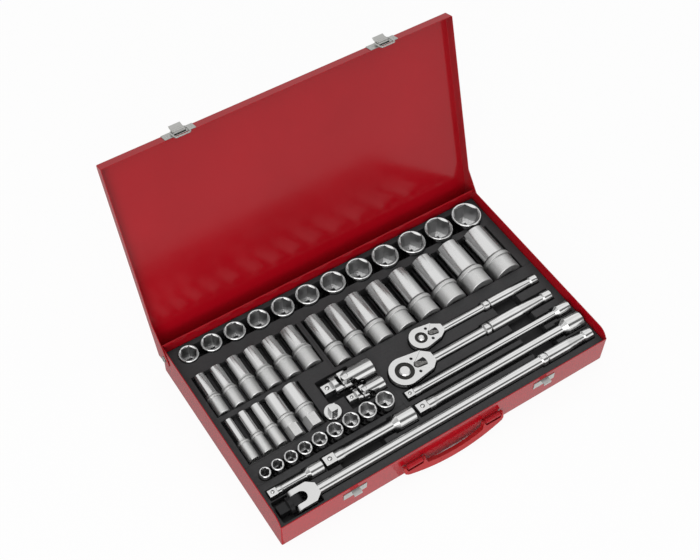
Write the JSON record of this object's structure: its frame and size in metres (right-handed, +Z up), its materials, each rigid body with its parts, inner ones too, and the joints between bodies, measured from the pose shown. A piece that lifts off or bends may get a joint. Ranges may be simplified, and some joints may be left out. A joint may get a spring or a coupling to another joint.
{
  "type": "socket wrench set in case",
  "caption": "Sheet-steel case with hinged lid, draw latches and carrying handle; a moulded tray holds sockets, ratchets, extension bars, universal joints, an adapter and a hinged-head bar.",
  "frame": {"origin": "centre of the case base's underside", "axes": "+X along the case's length to the right, +Y from the front wall to the hinge, +Z up"},
  "size_m": [0.4862, 0.4017, 0.3049],
  "materials": {
    "red_paint": "glossy enamel",
    "red_plastic": "smooth",
    "nickel": "bright nickel plate",
    "tray": "fine matte grain",
    "chrome": "polished chrome plate",
    "dark_steel": "dark phosphate",
    "black_steel": "black oxide"
  },
  "bodies": {
    "case": {"case_base": "red_paint", "tool_tray": "tray", "hinge_rivets": "nickel", "latch_catches": "nickel", "handle_brackets": "red_paint"},
    "lid": {"case_lid": "red_paint", "latch_plates": "nickel"},
    "handle": {"carry_handle": "red_plastic"},
    "lever_left": {"latch_lever_left": "nickel"},
    "bail_left": {"latch_bail_left": "nickel"},
    "lever_right": {"latch_lever_right": "nickel"},
    "bail_right": {"latch_bail_right": "nickel"},
    "shallow_socket_19": {"shallow_socket_19": "chrome"},
    "shallow_socket_20": {"shallow_socket_20": "chrome"},
    "shallow_socket_21": {"shallow_socket_21": "chrome"},
    "shallow_socket_22": {"shallow_socket_22": "chrome"},
    "shallow_socket_23": {"shallow_socket_23": "chrome"},
    "shallow_socket_24": {"shallow_socket_24": "chrome"},
    "shallow_socket_26": {"shallow_socket_26": "chrome"},
    "shallow_socket_27": {"shallow_socket_27": "chrome"},
    "shallow_socket_28": {"shallow_socket_28": "chrome"},
    "shallow_socket_29": {"shallow_socket_29": "chrome"},
    "shallow_socket_30": {"shallow_socket_30": "chrome"},
    "shallow_socket_32": {"shallow_socket_32": "chrome"},
    "deep_socket_17": {"deep_socket_17": "chrome"},
    "deep_socket_18": {"deep_socket_18": "chrome"},
    "deep_socket_20": {"deep_socket_20": "chrome"},
    "deep_socket_22": {"deep_socket_22": "chrome"},
    "deep_socket_24": {"deep_socket_24": "chrome"},
    "deep_socket_27": {"deep_socket_27": "chrome"},
    "deep_socket_29": {"deep_socket_29": "chrome"},
    "deep_socket_30": {"deep_socket_30": "chrome"},
    "small_deep_sockets": {"small_deep_sockets": "chrome"},
    "small_shallow_sockets": {"small_shallow_sockets": "chrome"},
    "small_extension": {"small_extension": "chrome"},
    "long_extension": {"long_extension": "chrome"},
    "medium_extension": {"medium_extension": "chrome"},
    "short_extension": {"short_extension": "chrome"},
    "drive_adapter": {"drive_adapter": "chrome"},
    "large_ratchet": {"large_ratchet_body": "chrome", "large_ratchet_cover": "chrome"},
    "large_ratchet_gear": {"large_ratchet_gear": "dark_steel"},
    "large_ratchet_button": {"large_ratchet_button": "chrome"},
    "large_ratchet_selector": {"large_ratchet_selector": "dark_steel"},
    "large_ratchet_pawl": {"large_ratchet_pawl": "dark_steel"},
    "small_ratchet": {"small_ratchet_body": "chrome", "small_ratchet_cover": "chrome"},
    "small_ratchet_gear": {"small_ratchet_gear": "dark_steel"},
    "small_ratchet_button": {"small_ratchet_button": "chrome"},
    "small_ratchet_selector": {"small_ratchet_selector": "dark_steel"},
    "small_ratchet_pawl": {"small_ratchet_pawl": "dark_steel"},
    "large_universal_socket_side": {"large_universal_socket_yoke": "chrome"},
    "large_universal_cross": {"large_universal_cross": "chrome"},
    "large_universal_drive_side": {"large_universal_drive_yoke": "chrome"},
    "small_universal_socket_side": {"small_universal_socket_yoke": "chrome"},
    "small_universal_cross": {"small_universal_cross": "chrome"},
    "small_universal_drive_side": {"small_universal_drive_yoke": "chrome"},
    "hinged_bar": {"breaker_bar": "chrome", "breaker_pin": "chrome"},
    "hinged_bar_head": {"breaker_head": "black_steel"}
  },
  "joints": [
    {"name": "lid_hinge", "type": "hinge", "parent": "case", "child": "lid", "pos_m": [0, 0.13493, 0.03542], "axis": [-1, 0, 0], "range_deg": [-108, 0]},
    {"name": "handle_swing", "type": "hinge", "parent": "case", "child": "handle", "pos_m": [0, -0.14603, 0.02322], "axis": [-1, 0, 0], "range_deg": [0, 130]},
    {"name": "latch_left", "type": "hinge", "parent": "lid", "child": "lever_left", "pos_m": [-0.14, 0.233, 0.30014], "axis": [1, 0, 0], "range_deg": [0, 150]},
    {"name": "bail_left_pivot", "type": "hinge", "parent": "lever_left", "child": "bail_left", "pos_m": [-0.14, 0.23699, 0.29884], "axis": [1, 0, 0], "range_deg": [-150, 0]},
    {"name": "latch_right", "type": "hinge", "parent": "lid", "child": "lever_right", "pos_m": [0.14, 0.233, 0.30014], "axis": [1, 0, 0], "range_deg": [0, 150]},
    {"name": "bail_right_pivot", "type": "hinge", "parent": "lever_right", "child": "bail_right", "pos_m": [0.14, 0.23699, 0.29884], "axis": [1, 0, 0], "range_deg": [-150, 0]},
    {"name": "shallow_socket_19_lift", "type": "slide", "parent": "case", "child": "shallow_socket_19", "axis": [0, 0, 1], "range_m": [0, 0.06]},
    {"name": "shallow_socket_20_lift", "type": "slide", "parent": "case", "child": "shallow_socket_20", "axis": [0, 0, 1], "range_m": [0, 0.06]},
    {"name": "shallow_socket_21_lift", "type": "slide", "parent": "case", "child": "shallow_socket_21", "axis": [0, 0, 1], "range_m": [0, 0.06]},
    {"name": "shallow_socket_22_lift", "type": "slide", "parent": "case", "child": "shallow_socket_22", "axis": [0, 0, 1], "range_m": [0, 0.06]},
    {"name": "shallow_socket_23_lift", "type": "slide", "parent": "case", "child": "shallow_socket_23", "axis": [0, 0, 1], "range_m": [0, 0.06]},
    {"name": "shallow_socket_24_lift", "type": "slide", "parent": "case", "child": "shallow_socket_24", "axis": [0, 0, 1], "range_m": [0, 0.06]},
    {"name": "shallow_socket_26_lift", "type": "slide", "parent": "case", "child": "shallow_socket_26", "axis": [0, 0, 1], "range_m": [0, 0.06]},
    {"name": "shallow_socket_27_lift", "type": "slide", "parent": "case", "child": "shallow_socket_27", "axis": [0, 0, 1], "range_m": [0, 0.06]},
    {"name": "shallow_socket_28_lift", "type": "slide", "parent": "case", "child": "shallow_socket_28", "axis": [0, 0, 1], "range_m": [0, 0.06]},
    {"name": "shallow_socket_29_lift", "type": "slide", "parent": "case", "child": "shallow_socket_29", "axis": [0, 0, 1], "range_m": [0, 0.06]},
    {"name": "shallow_socket_30_lift", "type": "slide", "parent": "case", "child": "shallow_socket_30", "axis": [0, 0, 1], "range_m": [0, 0.06]},
    {"name": "shallow_socket_32_lift", "type": "slide", "parent": "case", "child": "shallow_socket_32", "axis": [0, 0, 1], "range_m": [0, 0.06]},
    {"name": "deep_socket_17_lift", "type": "slide", "parent": "case", "child": "deep_socket_17", "axis": [0, 0, 1], "range_m": [0, 0.06]},
    {"name": "deep_socket_18_lift", "type": "slide", "parent": "case", "child": "deep_socket_18", "axis": [0, 0, 1], "range_m": [0, 0.06]},
    {"name": "deep_socket_20_lift", "type": "slide", "parent": "case", "child": "deep_socket_20", "axis": [0, 0, 1], "range_m": [0, 0.06]},
    {"name": "deep_socket_22_lift", "type": "slide", "parent": "case", "child": "deep_socket_22", "axis": [0, 0, 1], "range_m": [0, 0.06]},
    {"name": "deep_socket_24_lift", "type": "slide", "parent": "case", "child": "deep_socket_24", "axis": [0, 0, 1], "range_m": [0, 0.06]},
    {"name": "deep_socket_27_lift", "type": "slide", "parent": "case", "child": "deep_socket_27", "axis": [0, 0, 1], "range_m": [0, 0.06]},
    {"name": "deep_socket_29_lift", "type": "slide", "parent": "case", "child": "deep_socket_29", "axis": [0, 0, 1], "range_m": [0, 0.06]},
    {"name": "deep_socket_30_lift", "type": "slide", "parent": "case", "child": "deep_socket_30", "axis": [0, 0, 1], "range_m": [0, 0.06]},
    {"name": "small_deep_sockets_lift", "type": "slide", "parent": "case", "child": "small_deep_sockets", "axis": [0, 0, 1], "range_m": [0, 0.06]},
    {"name": "small_shallow_sockets_lift", "type": "slide", "parent": "case", "child": "small_shallow_sockets", "axis": [0, 0, 1], "range_m": [0, 0.06]},
    {"name": "small_extension_lift", "type": "slide", "parent": "case", "child": "small_extension", "axis": [0, 0, 1], "range_m": [0, 0.06]},
    {"name": "long_extension_lift", "type": "slide", "parent": "case", "child": "long_extension", "axis": [0, 0, 1], "range_m": [0, 0.06]},
    {"name": "medium_extension_lift", "type": "slide", "parent": "case", "child": "medium_extension", "axis": [0, 0, 1], "range_m": [0, 0.06]},
    {"name": "short_extension_lift", "type": "slide", "parent": "case", "child": "short_extension", "axis": [0, 0, 1], "range_m": [0, 0.06]},
    {"name": "drive_adapter_lift", "type": "slide", "parent": "case", "child": "drive_adapter", "axis": [0, 0, 1], "range_m": [0, 0.06]},
    {"name": "large_ratchet_lift", "type": "slide", "parent": "case", "child": "large_ratchet", "axis": [0, 0, 1], "range_m": [0, 0.06]},
    {"name": "large_ratchet_drive_spin", "type": "hinge", "parent": "large_ratchet", "child": "large_ratchet_gear", "pos_m": [-0.00314, -0.04502, 0.036], "axis": [0, 0, 1], "continuous": true},
    {"name": "large_ratchet_release", "type": "slide", "parent": "large_ratchet_gear", "child": "large_ratchet_button", "axis": [0, 0, -1], "range_m": [0, 0.002], "stiffness_N_per_m": 400, "springref_m": -0.002},
    {"name": "large_ratchet_select", "type": "hinge", "parent": "large_ratchet", "child": "large_ratchet_selector", "pos_m": [0.01596, -0.04502, 0.046], "axis": [0, 0, 1], "range_deg": [0, 36]},
    {"name": "large_ratchet_pawl_rock", "type": "hinge", "parent": "large_ratchet", "child": "large_ratchet_pawl", "pos_m": [0.01596, -0.04502, 0.046], "axis": [0, 0, 1], "range_deg": [0, 6]},
    {"name": "small_ratchet_lift", "type": "slide", "parent": "case", "child": "small_ratchet", "axis": [0, 0, 1], "range_m": [0, 0.06]},
    {"name": "small_ratchet_drive_spin", "type": "hinge", "parent": "small_ratchet", "child": "small_ratchet_gear", "pos_m": [0.04246, -0.01552, 0.038], "axis": [0, 0, 1], "continuous": true},
    {"name": "small_ratchet_release", "type": "slide", "parent": "small_ratchet_gear", "child": "small_ratchet_button", "axis": [0, 0, -1], "range_m": [0, 0.002], "stiffness_N_per_m": 400, "springref_m": -0.002},
    {"name": "small_ratchet_select", "type": "hinge", "parent": "small_ratchet", "child": "small_ratchet_selector", "pos_m": [0.05726, -0.01552, 0.046], "axis": [0, 0, 1], "range_deg": [0, 36]},
    {"name": "small_ratchet_pawl_rock", "type": "hinge", "parent": "small_ratchet", "child": "small_ratchet_pawl", "pos_m": [0.05726, -0.01552, 0.046], "axis": [0, 0, 1], "range_deg": [0, 6]},
    {"name": "large_universal_socket_side_lift", "type": "slide", "parent": "case", "child": "large_universal_socket_side", "axis": [0, 0, 1], "range_m": [0, 0.06]},
    {"name": "large_universal_turn", "type": "hinge", "parent": "large_universal_socket_side", "child": "large_universal_cross", "pos_m": [-0.06984, -0.01352, 0.038], "axis": [0, 0, 1], "range_deg": [-12, 12]},
    {"name": "large_universal_raise", "type": "hinge", "parent": "large_universal_cross", "child": "large_universal_drive_side", "pos_m": [-0.06984, -0.01352, 0.038], "axis": [0, 1, 0], "range_deg": [0, 30]},
    {"name": "small_universal_socket_side_lift", "type": "slide", "parent": "case", "child": "small_universal_socket_side", "axis": [0, 0, 1], "range_m": [0, 0.06]},
    {"name": "small_universal_turn", "type": "hinge", "parent": "small_universal_socket_side", "child": "small_universal_cross", "pos_m": [-0.05834, -0.03942, 0.038], "axis": [0, 0, 1], "range_deg": [-12, 12]},
    {"name": "small_universal_raise", "type": "hinge", "parent": "small_universal_cross", "child": "small_universal_drive_side", "pos_m": [-0.05834, -0.03942, 0.038], "axis": [0, 1, 0], "range_deg": [0, 30]},
    {"name": "hinged_bar_lift", "type": "slide", "parent": "case", "child": "hinged_bar", "axis": [0, 0, 1], "range_m": [0, 0.06]},
    {"name": "hinged_bar_flex", "type": "hinge", "parent": "hinged_bar", "child": "hinged_bar_head", "pos_m": [-0.2048, -0.12053, 0.038], "axis": [0, 1, 0], "range_deg": [0, 90]}
  ],
  "couplings": [
    {"joint": "bail_left_pivot", "follows": "latch_left", "ratio": -1},
    {"joint": "bail_right_pivot", "follows": "latch_right", "ratio": -1},
    {"joint": "large_ratchet_pawl_rock", "follows": "large_ratchet_select", "ratio": 0.16667},
    {"joint": "small_ratchet_pawl_rock", "follows": "small_ratchet_select", "ratio": 0.16667}
  ]
}
